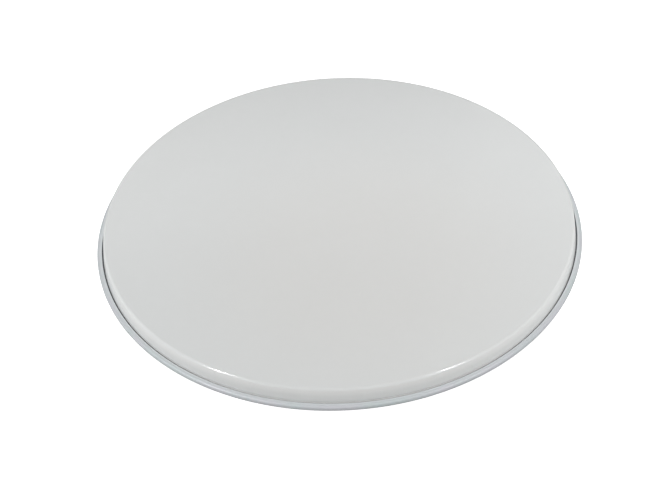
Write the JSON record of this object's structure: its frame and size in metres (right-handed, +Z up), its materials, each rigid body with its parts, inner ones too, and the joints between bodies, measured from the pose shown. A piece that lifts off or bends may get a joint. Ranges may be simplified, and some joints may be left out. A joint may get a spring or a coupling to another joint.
{
  "type": "drum head",
  "caption": "Round drum head: a flat white film with a formed collar, its edge cast in resin inside a rolled aluminium channel hoop.",
  "frame": {"origin": "centre of the hoop's underside, the plane that the head lies on", "axes": "+Z up along the head's axis of symmetry, from the open side to the playing surface; +Y towards the hoop's butt seam"},
  "size_m": [0.3698, 0.3698, 0.0164],
  "materials": {
    "white_film": "smooth satin gloss, warm white, single ply",
    "aluminium_hoop": "bare rolled sheet, satin, cool grey",
    "cast_resin": "cast in place, dark grey, slightly glossy",
    "steel_strip": "plain strip"
  },
  "bodies": {
    "root": {"film": "white_film", "hoop": "aluminium_hoop", "resin_bead": "cast_resin", "splice_strip": "steel_strip"}
  },
  "joints": []
}
